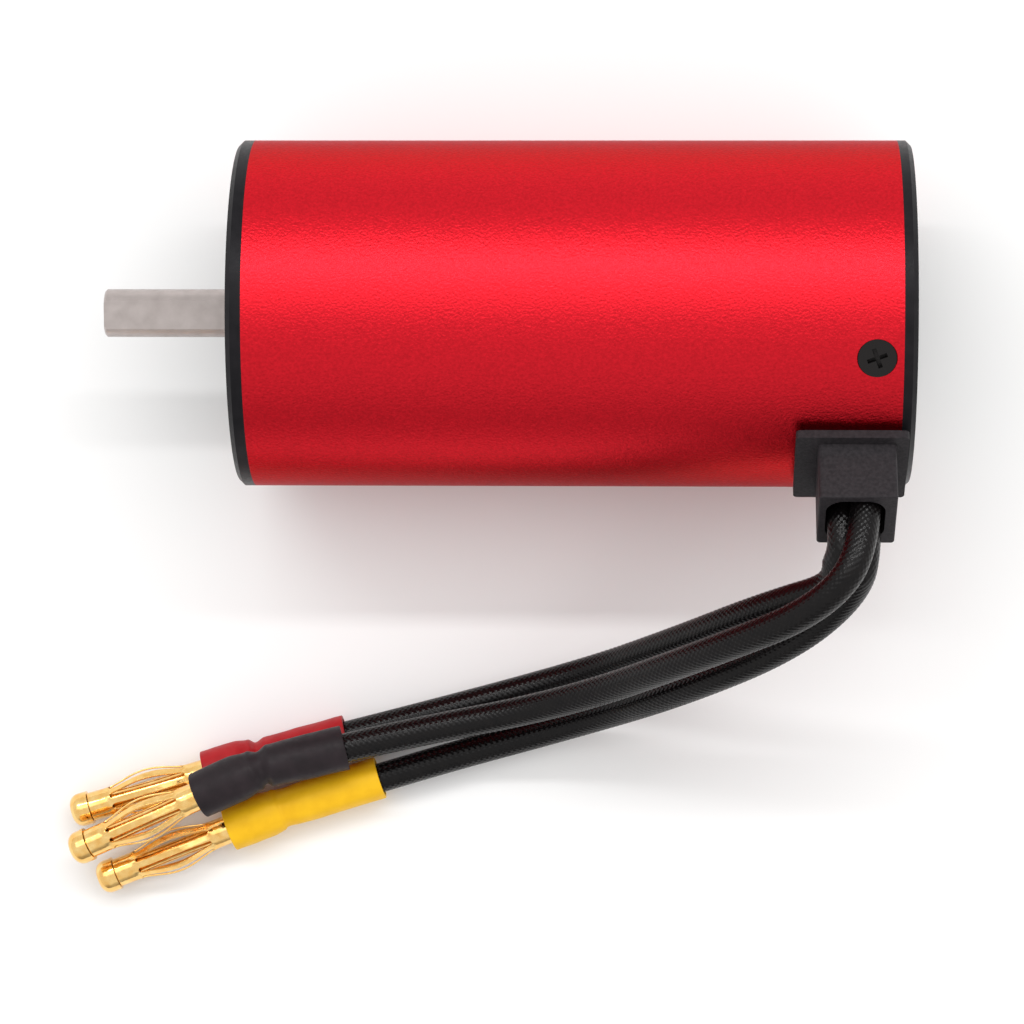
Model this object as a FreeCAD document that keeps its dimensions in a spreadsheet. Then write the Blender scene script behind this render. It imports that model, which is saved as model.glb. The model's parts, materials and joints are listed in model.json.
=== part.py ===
import FreeCAD, Part
import math
import os
from types import SimpleNamespace

import Sketcher
from FreeCAD import Placement, Rotation, Vector

# A 36 mm brushless inrunner motor. The origin is the centre of the front mounting face, +X points out
# along the output shaft, +Z is up and the motor lies on its side. All sizes are in millimetres.

DIMENSIONS = {
    # can and end bells
    "can_diameter": 36.0,
    "body_length": 69.5,
    "can_wall": 1.6,
    "front_rim": 1.6,
    "rear_rim": 1.4,
    "rim_chamfer": 0.5,
    "spigot_gap": 0.05,
    "front_spigot": 5.6,
    "rear_spigot": 8.0,
    "front_spigot_inner": 14.4,
    "rear_spigot_inner": 13.6,
    "end_plate": 3.4,
    "shaft_opening": 4.0,
    "seat_depth": 2.0,
    "hub_radius": 8.6,
    "hub_lip": 0.3,
    "washer_room": 0.3,
    "bolt_circle": 25.0,
    "bolt_bore": 2.5,
    # countersunk screws through the can into the rear bell
    "screw_angle": 73.0,
    "screw_from_rear": 4.1,
    "screw_count": 3.0,
    "screw_head": 3.9,
    "screw_head_height": 1.1,
    "screw_thread": 2.4,
    "screw_length": 4.2,
    "screw_room": 0.1,
    "recess_turn": 20.0,
    "recess_width": 0.45,
    "recess_span": 2.1,
    "recess_depth": 0.8,
    # bearings, 5 x 13 x 4
    "bearing_bore": 5.0,
    "bearing_outer": 13.0,
    "bearing_width": 4.0,
    "ball_diameter": 2.0,
    "ball_circle": 9.0,
    "ball_count": 7.0,
    "race_gap": 0.03,
    "cage_half_width": 0.75,
    "cage_half_height": 0.55,
    "shield_inset": 0.1,
    "inner_land": 3.6,
    "outer_land": 5.4,
    "shield_thickness": 0.2,
    # shaft and rotor
    "shaft_out": 14.25,
    "shaft_diameter": 5.0,
    "shaft_fit": 0.01,
    "flat_depth": 0.5,
    "flat_angle": 82.0,
    "tip_chamfer": 0.2,
    "groove_start": 1.25,
    "groove_width": 0.7,
    "groove_diameter": 4.4,
    "clip_diameter": 6.8,
    "clip_arc": 300.0,
    "shaft_end_inset": 0.9,
    "rotor_radius": 8.8,
    "rotor_overhang": 1.0,
    "sleeve_wall": 0.4,
    "magnet_thickness": 2.7,
    "magnet_count": 4.0,
    "magnet_arc": 86.0,
    "balance_ring_width": 3.0,
    "pit_circle": 12.0,
    "pit_diameter": 1.2,
    "pit_count": 3.0,
    "spacer_radius": 3.5,
    "stack_gap": 0.05,
    # stator
    "stack_start": 15.0,
    "stack_length": 38.0,
    "stator_outer": 16.3,
    "stator_bore": 9.2,
    "tooth_count": 6.0,
    "tooth_width": 5.0,
    "yoke_depth": 2.2,
    "shoe_depth": 1.2,
    "shoe_arc": 47.0,
    "insulator": 0.8,
    "coil_side": 2.4,
    "coil_depth": 2.5,
    "coil_slack": 0.15,
    "wedge_arc": 11.0,
    "wedge_thickness": 0.4,
    "bus_arc": 134.0,
    # cable block on the side of the can
    "cable_angle": 32.0,
    "plate_rear_gap": 0.7,
    "plate_length": 11.4,
    "plate_half_height": 5.6,
    "plate_face": 19.0,
    "plate_thickness": 0.9,
    "plate_corner": 0.45,
    "neck_corner": 0.4,
    "neck_edge": 0.2,
    "neck_from_rear": 5.9,
    "neck_face": 25.3,
    "neck_half_height": 4.4,
    "neck_half_width": 3.95,
    "slot_half_height": 4.0,
    "slot_length": 8.1,
    "block_room": 0.1,
    "throat_depth": 3.2,
    "saddle_depth": 1.6,
    "saddle_inset": 0.9,
    "lip_reach": 0.7,
    "lip_depth": 1.6,
    "passage_from_rear": 6.1,
    "passage_half_width": 3.0,
    "passage_half_height": 3.55,
    "passage_corner": 1.9,
    # leads and 4 mm bullet plugs
    "lead_diameter": 3.2,
    "conductor_diameter": 2.3,
    "tail_diameter": 1.8,
    "tail_radius": 12.1,
    "sleeve_thickness": 0.45,
    "barrel_diameter": 4.0,
    "barrel_length": 4.6,
    "cup_depth": 2.8,
    "plug_core": 2.0,
    "collar_diameter": 3.1,
    "collar_length": 2.1,
    "slat_length": 8.5,
    "slat_bulge": 4.7,
    "slat_thickness": 0.25,
    "slat_count": 8.0,
    "slat_gap": 0.8,
    "front_collar": 2.5,
    "head_diameter": 3.6,
    "head_length": 2.1,
    "head_round": 1.1,
}
SIZE = DIMENSIONS

# Each lead: where it starts and first turns in the cable block (x, distance from the motor's axis and
# height across the block), the points of its route down to the table, and its plug's three points: the
# mouth and the waist of the shrink sleeve, and the centre of the plug's head. A last turn, LAST_RUN before
# the lead's end, lines it up with its sleeve.
LEADS = {
    "red": {
        "block": [(-62.08, 17.4, 0.0), (-62.08, 26.9, 0.0)],
        "route": [(-62.6, 27.8, 12.6), (-54.5, 30.4, 6.5), (-45.2, 34.4, -4.0), (-35.4, 38.2, -14.8)],
        "mouth": (-10.0, 45.0, -15.4),
        "waist": (-0.5, 47.4, -15.4),
        "head": (18.7, 53.1, -15.4),
    },
    "black": {
        "block": [(-64.72, 17.4, 1.85), (-64.72, 29.1, 1.85)],
        "route": [(-60.2, 30.2, 16.1), (-49.5, 34.8, 8.5), (-34.0, 41.0, -8.2)],
        "mouth": (-10.1, 46.0, -10.8),
        "waist": (-1.3, 48.1, -9.9),
        "head": (18.3, 56.9, -12.0),
    },
    "yellow": {
        "block": [(-64.72, 17.4, -1.85), (-64.72, 27.9, -1.85)],
        "route": [(-63.4, 29.2, 8.6), (-57.2, 34.5, 4.5), (-46.5, 39.3, -2.5), (-36.0, 43.1, -14.6)],
        "mouth": (-13.6, 49.45, -15.4),
        "waist": (-2.9, 52.9, -15.4),
        "head": (15.8, 60.3, -15.4),
    },
}
HEAD_CENTRE = 14.0  # from the start of a plug's bare length to the centre of its head
LAST_RUN = 13.3
BRAID_END = 1.5  # from a sleeve's waist to the end of the braid
ARC_SHARE = 0.45  # how much of the shorter run an arc takes on each side of a turn
PHASES = (("a", "red", 0), ("b", "black", 60), ("c", "yellow", -60))

doc = FreeCAD.newDocument("inrunner")
nodes = []


def fill_sheet():
    """The driving dimensions, as a spreadsheet that every size below is bound to."""
    sheet = doc.addObject("Spreadsheet::Sheet", "Sheet")
    for row, (alias, value) in enumerate(DIMENSIONS.items(), start=1):
        sheet.set(f"A{row}", alias)
        sheet.set(f"B{row}", str(value))
        sheet.setAlias(f"B{row}", alias)
    doc.recompute()
    return sheet


def sized(text):
    """An expression whose words are names of the sheet's cells."""
    words = []
    for word in text.split():
        words.append(f"Sheet.{word}" if word in DIMENSIONS else word)
    return " ".join(words)


def node(thing, label):
    """Keeps an object as one of the motor's pieces."""
    thing.Label = label
    nodes.append(thing)
    return thing


# ---------------------------------------------------------------- sketches and bodies


def origin_plane(body, role):
    return next(f for f in body.Origin.OriginFeatures if f.Role == role)


def new_sketch(body, name, role, offset=None):
    """A sketch on one of the body's own planes, lifted off it by the offset."""
    sketch = body.newObject("Sketcher::SketchObject", name)
    sketch.AttachmentSupport = (origin_plane(body, role), [""])
    sketch.MapMode = "FlatFace"
    if offset:
        sketch.setExpression("AttachmentOffset.Base.z", sized(offset))
    return sketch


def tie(sketch, kind, where, text):
    """One dimension of a sketch, bound to the sheet."""
    first = 1.0 if kind != "Radius" else 1.5
    index = sketch.addConstraint(Sketcher.Constraint(kind, *where, first))
    sketch.setExpression(f"Constraints[{index}]", sized(text))


def outline(sketch, corners):
    """A closed outline of straight lines through the corners, whose coordinates are expressions."""
    count = len(corners)
    around = [2 * math.pi * k / count for k in range(count)]
    points = [Vector(20 + 9 * math.cos(a), 20 + 9 * math.sin(a), 0) for a in around]
    first = sketch.GeometryCount
    for k in range(count):
        sketch.addGeometry(Part.LineSegment(points[k], points[(k + 1) % count]), False)
    for k in range(count):
        line, after = first + k, first + (k + 1) % count
        sketch.addConstraint(Sketcher.Constraint("Coincident", line, 2, after, 1))
    for k, (across, up) in enumerate(corners):
        tie_point(sketch, first + k, 1, across, up)


def tie_point(sketch, item, end, across, up):
    """Fixes a point of a sketch at two distances from the sketch's axes."""
    if across == "0":
        sketch.addConstraint(Sketcher.Constraint("PointOnObject", item, end, -2))
    else:
        tie(sketch, "DistanceX", (-1, 1, item, end), across)
    if up == "0":
        sketch.addConstraint(Sketcher.Constraint("PointOnObject", item, end, -1))
    else:
        tie(sketch, "DistanceY", (-1, 1, item, end), up)


def box_outline(sketch, left, right, low, high):
    outline(sketch, [(left, low), (right, low), (right, high), (left, high)])


def disc(sketch, across, up, radius):
    """A circle whose centre and radius are expressions."""
    item = sketch.addGeometry(Part.Circle(Vector(3, 3, 0), Vector(0, 0, 1), 1.5), False)
    tie_point(sketch, item, 3, across, up)
    tie(sketch, "Radius", (item,), radius)


def new_body(name):
    return doc.addObject("PartDesign::Body", name)


def axis_of(body, role):
    return (origin_plane(body, role), [""])


def revolve(body, sketch, name, angle=None):
    """A sketch turned about the body's own X axis, all round or through a named angle."""
    turn = body.newObject("PartDesign::Revolution", name)
    turn.Profile = sketch
    turn.ReferenceAxis = axis_of(body, "X_Axis")
    turn.Angle = 360
    if angle:
        turn.Midplane = True
        turn.setExpression("Angle", sized(angle))
    return turn


def pad(body, sketch, name, length, back=False):
    thing = body.newObject("PartDesign::Pad", name)
    thing.Profile = sketch
    thing.Reversed = back
    thing.setExpression("Length", sized(length))
    return thing


def pocket(body, sketch, name, length, back=False):
    """A cut that has to take material away."""
    doc.recompute()
    before = body.Shape.Volume
    thing = body.newObject("PartDesign::Pocket", name)
    thing.Profile = sketch
    thing.Reversed = back
    thing.setExpression("Length", sized(length))
    doc.recompute()
    if body.Shape.Volume >= before - 1e-6:
        raise ValueError(f"{name} cuts nothing")
    return thing


def repeat(body, features, name, count):
    """Copies of features all round the body's X axis."""
    pattern = body.newObject("PartDesign::PolarPattern", name)
    pattern.Originals = features
    pattern.Axis = axis_of(body, "X_Axis")
    pattern.Angle = 360
    pattern.setExpression("Occurrences", sized(count))
    body.Tip = pattern
    return pattern


def turned(label, corners, angle=None):
    """A body turned about the X axis from an outline of (x, radius) corners."""
    body = new_body(label)
    sketch = new_sketch(body, f"{label}_profile", "XY_Plane")
    outline(sketch, corners)
    revolve(body, sketch, f"{label}_turn", angle)
    return body


def ring_corners(front, back, inner, outer):
    return [(front, inner), (front, outer), (back, outer), (back, inner)]


def box_solid(name, length, width, height, corner, place=None):
    """A box from its lowest corner, in the frame that place gives."""
    thing = primitive("Box", name, {"Length": length, "Width": width, "Height": height})
    frame = place or Placement()
    thing.Placement = Placement(frame.multVec(corner), frame.Rotation)
    return thing


def upright(edge, least):
    """True for a straight edge that rises by at least that much."""
    ends = [v.Point for v in edge.Vertexes]
    return len(ends) == 2 and abs(ends[1].z - ends[0].z) > least


def about_x(degrees):
    """The placement that turns +Y towards +Z by an angle about the motor's axis."""
    return Placement(Vector(0, 0, 0), Rotation(Vector(1, 0, 0), degrees))


def radial(degrees):
    """The placement whose +Z points away from the motor's axis at an angle above +Y."""
    return about_x(degrees - 90)


# ---------------------------------------------------------------- primitives and booleans


def primitive(kind, name, sizes, place=None):
    thing = doc.addObject(f"Part::{kind}", name)
    for what, text in sizes.items():
        thing.setExpression(what, sized(text))
    if place:
        thing.Placement = place
    return thing


def cut(label, base, tool):
    thing = doc.addObject("Part::Cut", label)
    thing.Base = base
    thing.Tool = tool
    return thing


def common(label, base, tool):
    thing = doc.addObject("Part::Common", label)
    thing.Base = base
    thing.Tool = tool
    return thing


def fuse(label, pieces):
    thing = doc.addObject("Part::MultiFuse", label)
    thing.Shapes = pieces
    return thing


def group(label, pieces):
    """Equal solids kept together as one piece of the list."""
    thing = doc.addObject("Part::Compound", label)
    thing.Links = pieces
    return thing


# ---------------------------------------------------------------- can, bells and screws


def screw_places(foot):
    """The placements of the screws, each at that distance from the motor's axis and facing outwards."""
    count = int(SIZE["screw_count"])
    x = SIZE["screw_from_rear"] - SIZE["body_length"]
    places = []
    for k in range(count):
        place = radial(SIZE["screw_angle"] + 360 * k / count)
        place.Base = place.multVec(Vector(x, 0, foot))
        places.append(place)
    return places


def drilled_for_screws(label, base, radius):
    """A piece with a round hole through its wall at each screw."""
    sizes = {"Radius": radius, "Height": "can_diameter / 2"}
    drills = []
    for k, place in enumerate(screw_places(0)):
        drills.append(primitive("Cylinder", f"{label}_drill_{k}", sizes, place))
    return cut(label, base, group(f"{label}_drills", drills))


def can():
    """The anodised tube, open to the rear where the cable block goes through its wall."""
    inner = "can_diameter / 2 - can_wall"
    tube = turned(
        "can_tube",
        ring_corners("- front_rim", "rear_rim - body_length", inner, "can_diameter / 2"),
    )
    corner = Vector(SIZE["rear_rim"] - SIZE["body_length"], -SIZE["slot_half_height"], 10)
    place = radial(SIZE["cable_angle"])
    slot = box_solid("can_slot", "slot_length", "slot_half_height * 2", "can_diameter / 2", corner, place)
    slotted = cut("can_slotted", tube, slot)
    sink_sizes = {
        "Radius1": "screw_thread / 2 + screw_room",
        "Radius2": "screw_head / 2 + screw_room",
        "Height": "screw_head_height",
    }
    foot = SIZE["can_diameter"] / 2 + 0.02 - SIZE["screw_head_height"]
    sinks = []
    for k, place in enumerate(screw_places(foot)):
        sinks.append(primitive("Cone", f"can_sink_{k}", sink_sizes, place))
    sunk = cut("can_sunk", slotted, group("can_sinks", sinks))
    return node(drilled_for_screws("can_drilled", sunk, "screw_thread / 2 + screw_room"), "can")


def front_end_bell():
    """The front ring and mounting face, with the seat of the front bearing behind it."""
    rim = "can_diameter / 2"
    spigot = "can_diameter / 2 - can_wall - spigot_gap"
    seat = "bearing_outer / 2 + shaft_fit"
    body = turned(
        "front_end_bell",
        [
            ("0", "shaft_opening"),
            ("0", f"{rim} - rim_chamfer"),
            ("- rim_chamfer", rim),
            ("- front_rim", rim),
            ("- front_rim", spigot),
            ("- front_rim - front_spigot", spigot),
            ("- front_rim - front_spigot", "front_spigot_inner"),
            ("- end_plate", "front_spigot_inner"),
            ("- end_plate", "hub_radius"),
            ("- seat_depth - bearing_width - hub_lip", "hub_radius"),
            ("- seat_depth - bearing_width - hub_lip", seat),
            ("- seat_depth", seat),
            ("- seat_depth", "shaft_opening"),
        ],
    )
    holes = new_sketch(body, "front_bolts", "YZ_Plane")
    reach = "bolt_circle / 2 * cos(45)"
    for across in (reach, f"- {reach}"):
        for up in (reach, f"- {reach}"):
            disc(holes, across, up, "bolt_bore / 2")
    pocket(body, holes, "front_bolt_bores", "end_plate + 1", back=False)
    return node(body, "front_end_bell")


def rear_end_bell():
    """The rear ring and cover, with the rear bearing's seat and a notch for the cable block."""
    rim = "can_diameter / 2"
    spigot = "can_diameter / 2 - can_wall - spigot_gap"
    seat = "bearing_outer / 2 + shaft_fit"
    back = "- body_length"
    hub_end = f"{back} + seat_depth + washer_room + bearing_width + hub_lip"
    body = turned(
        "rear_bell_turned",
        [
            (back, "shaft_opening"),
            (back, f"{rim} - rim_chamfer"),
            (f"{back} + rim_chamfer", rim),
            (f"{back} + rear_rim", rim),
            (f"{back} + rear_rim", spigot),
            (f"{back} + rear_rim + rear_spigot", spigot),
            (f"{back} + rear_rim + rear_spigot", "rear_spigot_inner"),
            (f"{back} + end_plate", "rear_spigot_inner"),
            (f"{back} + end_plate", "hub_radius"),
            (hub_end, "hub_radius"),
            (hub_end, seat),
            (f"{back} + seat_depth", seat),
            (f"{back} + seat_depth", "shaft_opening"),
        ],
    )
    corner = Vector(
        SIZE["rear_rim"] - SIZE["body_length"],
        -SIZE["slot_half_height"] - 1,
        SIZE["rear_spigot_inner"] - 1.2,
    )
    place = radial(SIZE["cable_angle"])
    notch = box_solid("rear_bell_notch", "rear_spigot + 1", "slot_half_height * 2 + 2", "6", corner, place)
    notched = cut("rear_bell_notched", body, notch)
    return node(drilled_for_screws("rear_bell_drilled", notched, "screw_thread / 2 + 0.05"), "rear_end_bell")


def countersunk_screw(name, place):
    """One screw, its head flush with the can and a cross recess in it."""
    shank = primitive(
        "Cylinder",
        f"{name}_shank",
        {"Radius": "screw_thread / 2", "Height": "screw_length - screw_head_height"},
    )
    head = primitive(
        "Cone",
        f"{name}_head",
        {
            "Radius1": "screw_thread / 2",
            "Radius2": "screw_head / 2",
            "Height": "screw_head_height",
        },
    )
    head.setExpression("Placement.Base.z", sized("screw_length - screw_head_height"))
    blades = []
    floor = SIZE["screw_length"] - SIZE["recess_depth"] + 0.01
    corner = Vector(-SIZE["recess_span"] / 2, -SIZE["recess_width"] / 2, floor)
    for k in range(2):
        turn = Placement(Vector(0, 0, 0), Rotation(Vector(0, 0, 1), SIZE["recess_turn"] + 90 * k))
        size = ("recess_span", "recess_width", "recess_depth")
        blades.append(box_solid(f"{name}_blade_{k}", *size, corner, turn))
    solid = fuse(f"{name}_solid", [shank, head])
    screw = cut(name, solid, fuse(f"{name}_recess", blades))
    screw.Placement = place
    return screw


def rear_end_screws():
    """The ring of screws, their heads just below the can's surface."""
    foot = SIZE["can_diameter"] / 2 - 0.05 - SIZE["screw_length"]
    screws = [countersunk_screw(f"screw_{k}", place) for k, place in enumerate(screw_places(foot))]
    return node(group("rear_screws", screws), "rear_end_screws")


# ---------------------------------------------------------------- bearings


def bearing(name, front):
    """A shielded ball bearing whose front face is at x = front, an expression."""
    back = f"{front} - bearing_width"
    middle = f"{front} - bearing_width / 2"
    outer = turned(f"{name}_outer_blank", ring_corners(front, back, "outer_land", "bearing_outer / 2"))
    inner_bore = "bearing_bore / 2 + shaft_fit"
    inner = turned(f"{name}_inner_blank", ring_corners(front, back, inner_bore, "inner_land"))
    for blank, label in ((outer, "outer_ring"), (inner, "inner_ring")):
        sizes = {"Radius1": "ball_circle / 2", "Radius2": "ball_diameter / 2 + race_gap"}
        torus = primitive("Torus", f"{name}_{label}_race", sizes)
        torus.Placement = Placement(Vector(0, 0, 0), Rotation(Vector(0, 1, 0), 90))
        torus.setExpression("Placement.Base.x", sized(middle))
        node(cut(f"{name}_{label}_cut", blank, torus), f"{name}_{label}")
    count = int(SIZE["ball_count"])
    cage = turned(
        f"{name}_cage_blank",
        ring_corners(
            f"{middle} + cage_half_width",
            f"{middle} - cage_half_width",
            "ball_circle / 2 - cage_half_height",
            "ball_circle / 2 + cage_half_height",
        ),
    )
    balls, pockets = [], []
    for k in range(count):
        around = about_x(360 * k / count)
        ball = primitive("Sphere", f"{name}_ball_{k}", {"Radius": "ball_diameter / 2"})
        ball.Placement.Base = around.multVec(Vector(0, SIZE["ball_circle"] / 2, 0))
        pocket_size = {"Radius": "ball_diameter / 2 + 0.05", "Height": "ball_circle"}
        opening = primitive("Cylinder", f"{name}_pocket_{k}", pocket_size, radial(360 * k / count))
        for thing in (ball, opening):
            thing.setExpression("Placement.Base.x", sized(middle))
        balls.append(ball)
        pockets.append(opening)
    node(group(f"{name}_ball_group", balls), f"{name}_balls")
    cage_cut = cut(f"{name}_cage_cut", cage, group(f"{name}_cage_pockets", pockets))
    node(cage_cut, f"{name}_cage")
    shields = []
    for k, edge in enumerate((f"{front} - shield_inset", f"{back} + shield_inset + shield_thickness")):
        corners = ring_corners(
            edge, f"{edge} - shield_thickness", "inner_land + 0.15", "outer_land - 0.02"
        )
        shields.append(turned(f"{name}_shield_{k}", corners))
    node(group(f"{name}_shield_pair", shields), f"{name}_shields")


def rear_bearing_front():
    return "seat_depth + washer_room + bearing_width - body_length"


def wave_washer():
    """The spring washer behind the rear bearing."""
    back = "seat_depth - body_length"
    front = f"{back} + washer_room - 0.02"
    corners = ring_corners(front, f"{back} + 0.02", "outer_land", "bearing_outer / 2 - 0.1")
    return node(turned("wave_washer_ring", corners), "wave_washer")


# ---------------------------------------------------------------- rotor


def shaft():
    """The output shaft: a flat from its tip back to the clip groove, and both ends chamfered."""
    radius = "shaft_diameter / 2"
    back = "shaft_end_inset - body_length"
    body = turned(
        "shaft",
        [
            ("shaft_out", "0"),
            ("shaft_out", f"{radius} - tip_chamfer"),
            ("shaft_out - tip_chamfer", radius),
            ("- groove_start", radius),
            ("- groove_start", "groove_diameter / 2"),
            ("- groove_start - groove_width", "groove_diameter / 2"),
            ("- groove_start - groove_width", radius),
            (f"{back} + tip_chamfer", radius),
            (back, f"{radius} - tip_chamfer"),
            (back, "0"),
        ],
    )
    sketch = new_sketch(body, "shaft_flat", "XY_Plane", f"{radius} - flat_depth")
    box_outline(sketch, "- groove_start", "shaft_out + 1", "-3", "3")
    pocket(body, sketch, "shaft_flat_cut", "2", back=True)
    body.Placement = radial(SIZE["flat_angle"])
    return node(body, "shaft")


def shaft_clip():
    """The open ring in the shaft's groove that holds the front bearing."""
    corners = ring_corners(
        "- groove_start - stack_gap",
        "- groove_start - groove_width + stack_gap",
        "groove_diameter / 2 + shaft_fit",
        "clip_diameter / 2",
    )
    clip = turned("shaft_clip_ring", corners, "clip_arc")
    clip.Placement = radial(SIZE["flat_angle"])
    return node(clip, "shaft_clip")


def rotor_start():
    return "- stack_start + rotor_overhang"


def rotor_end():
    return "- stack_start - stack_length - rotor_overhang"


def rotor_bore():
    return "shaft_diameter / 2 + shaft_fit"


def rotor_parts():
    """The steel core, its magnets and the sleeve that holds them."""
    start, end, bore = rotor_start(), rotor_end(), rotor_bore()
    inside = "rotor_radius - sleeve_wall - 0.02"
    core_radius = f"{inside} - magnet_thickness - 0.02"
    node(turned("rotor_core_ring", ring_corners(start, end, bore, core_radius)), "rotor_core")
    magnet = turned(
        "magnet_ring",
        ring_corners(start, end, f"{inside} - magnet_thickness", inside),
        "magnet_arc",
    )
    repeat(magnet, [magnet.Tip], "magnet_pattern", "magnet_count")
    magnet.Placement = about_x(SIZE["flat_angle"])
    node(magnet, "rotor_magnets")
    sleeve = turned("sleeve_ring", ring_corners(start, end, "rotor_radius - sleeve_wall", "rotor_radius"))
    node(sleeve, "rotor_sleeve")


def balance_ring(name, near, far, face):
    """A brass ring beside the core, with shallow balancing pits drilled in its outer face."""
    ring = turned(f"{name}_turned", ring_corners(near, far, rotor_bore(), "rotor_radius - 0.6"))
    drill = new_sketch(ring, f"{name}_pit", "YZ_Plane", face)
    disc(drill, "pit_circle / 2", "0", "pit_diameter / 2")
    pit = pocket(ring, drill, f"{name}_pit_cut", "pit_diameter", back=face == far)
    repeat(ring, [pit], f"{name}_pits", "pit_count")
    return node(ring, name)


def balance_rings_and_spacers():
    """What keeps the core in its place between the two bearings."""
    front_foot = f"{rotor_start()} + stack_gap"
    front_top = f"{front_foot} + balance_ring_width"
    rear_foot = f"{rotor_end()} - stack_gap"
    rear_top = f"{rear_foot} - balance_ring_width"
    balance_ring("front_balance_ring", front_top, front_foot, front_top)
    balance_ring("rear_balance_ring", rear_foot, rear_top, rear_top)
    spacers = (
        ("front_spacer", "- seat_depth - bearing_width - stack_gap * 2", f"{front_top} + stack_gap"),
        ("rear_spacer", f"{rear_top} - stack_gap", f"{rear_bearing_front()} + stack_gap"),
    )
    for name, near, far in spacers:
        node(turned(f"{name}_tube", ring_corners(near, far, rotor_bore(), "spacer_radius")), name)


# ---------------------------------------------------------------- stator and windings


def teeth(body, name, start, length, inner):
    """One tooth standing in from the yoke, as a padded box."""
    sketch = new_sketch(body, f"{name}_section", "YZ_Plane", start)
    half = "tooth_width / 2"
    box_outline(sketch, f"- {half}", half, inner, "stator_outer - yoke_depth / 2")
    return pad(body, sketch, f"{name}_pad", length, back=True)


def stator_core():
    """The laminated stack: a yoke with six teeth and their shoes."""
    start = "- stack_start"
    end = "- stack_start - stack_length"
    body = turned("stator_core", ring_corners(start, end, "stator_outer - yoke_depth", "stator_outer"))
    tooth = teeth(body, "tooth", start, "stack_length", "stator_bore + shoe_depth / 2")
    sketch = new_sketch(body, "shoe_section", "XZ_Plane")
    box_outline(sketch, end, start, "stator_bore", "stator_bore + shoe_depth")
    shoe = revolve(body, sketch, "shoe_turn", "shoe_arc")
    repeat(body, [tooth, shoe], "tooth_pattern", "tooth_count")
    body.Placement = radial(SIZE["cable_angle"])
    return node(body, "stator_core")


def insulator(name, start):
    """The thin moulded plate between an end of the stack and the end turns."""
    ring = ring_corners(
        start,
        f"{start} - insulator + 0.04",
        "stator_outer - yoke_depth",
        "stator_outer - 0.1",
    )
    body = turned(f"{name}_ring", ring)
    tooth = teeth(body, f"{name}_tooth", start, "insulator - 0.04", "stator_bore + 0.3")
    repeat(body, [tooth], f"{name}_pattern", "tooth_count")
    body.Placement = radial(SIZE["cable_angle"])
    return node(body, name)


def winding(name, turn):
    """The two coils of one phase, wound round opposite teeth."""
    body = new_body(f"{name}_body")
    inner_half = "tooth_width / 2 + coil_slack"
    outer_half = "tooth_width / 2 + coil_slack + coil_side"
    first = "- stack_start + insulator + coil_slack"
    last = "- stack_start - stack_length - insulator - coil_slack"
    root = "stator_bore + shoe_depth + 0.15"
    sketch = new_sketch(body, f"{name}_section", "XY_Plane", root)
    box_outline(
        sketch,
        f"{last} - coil_side",
        f"{first} + coil_side",
        f"- ( {outer_half} )",
        outer_half,
    )
    box_outline(sketch, last, first, f"- ( {inner_half} )", inner_half)
    coil = pad(body, sketch, f"{name}_pad", "coil_depth")
    doc.recompute()
    inside = SIZE["tooth_width"] / 2 + SIZE["coil_slack"] + 0.5

    def outer_corner(edge):
        return upright(edge, SIZE["coil_depth"] - 0.01) and abs(edge.Vertexes[0].Point.y) > inside

    rounded = round_edges(body, f"{name}_round", outer_corner, "coil_side / 2")
    repeat(body, [coil, rounded], f"{name}_pair", "2")
    body.Placement = radial(SIZE["cable_angle"] + turn)
    return node(body, name)


def round_edges(body, name, wanted, radius):
    """Rounds the edges of the body's last feature for which wanted(edge) is true."""
    edges = [f"Edge{k}" for k, e in enumerate(body.Shape.Edges, start=1) if wanted(e)]
    if not edges:
        raise ValueError(f"{name} finds no edge")
    base = body.Tip
    fillet = body.newObject("PartDesign::Fillet", name)
    fillet.Base = (base, edges)
    fillet.setExpression("Radius", sized(radius))
    doc.recompute()
    return fillet


def slot_wedges():
    """The strips that close the slots between the shoes."""
    body = turned(
        "slot_wedge",
        ring_corners(
            "- stack_start",
            "- stack_start - stack_length",
            "stator_bore + 0.4",
            "stator_bore + 0.4 + wedge_thickness",
        ),
        "wedge_arc",
    )
    repeat(body, [body.Tip], "wedge_pattern", "tooth_count")
    body.Placement = about_x(SIZE["cable_angle"] + 30)
    return node(body, "slot_wedges")


def star_bus():
    """The bus that joins the three far ends of the windings."""
    body = new_body("star_bus_body")
    sketch = new_sketch(body, "star_bus_section", "XY_Plane")
    past_coils = "stack_start + stack_length + insulator + coil_slack + coil_side"
    disc(sketch, f"- ( {past_coils} + tail_diameter / 2 + 0.1 )", "tail_radius", "tail_diameter / 2")
    revolve(body, sketch, "star_bus_turn", "bus_arc")
    body.Placement = about_x(SIZE["cable_angle"] + 180)
    return node(body, "star_point_bus")


# ---------------------------------------------------------------- cable block


def cable_point(x, distance, height=0.0):
    """A point by its x, its distance from the axis along the block and its height across it."""
    return radial(SIZE["cable_angle"]).multVec(Vector(x, -height, distance))


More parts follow.
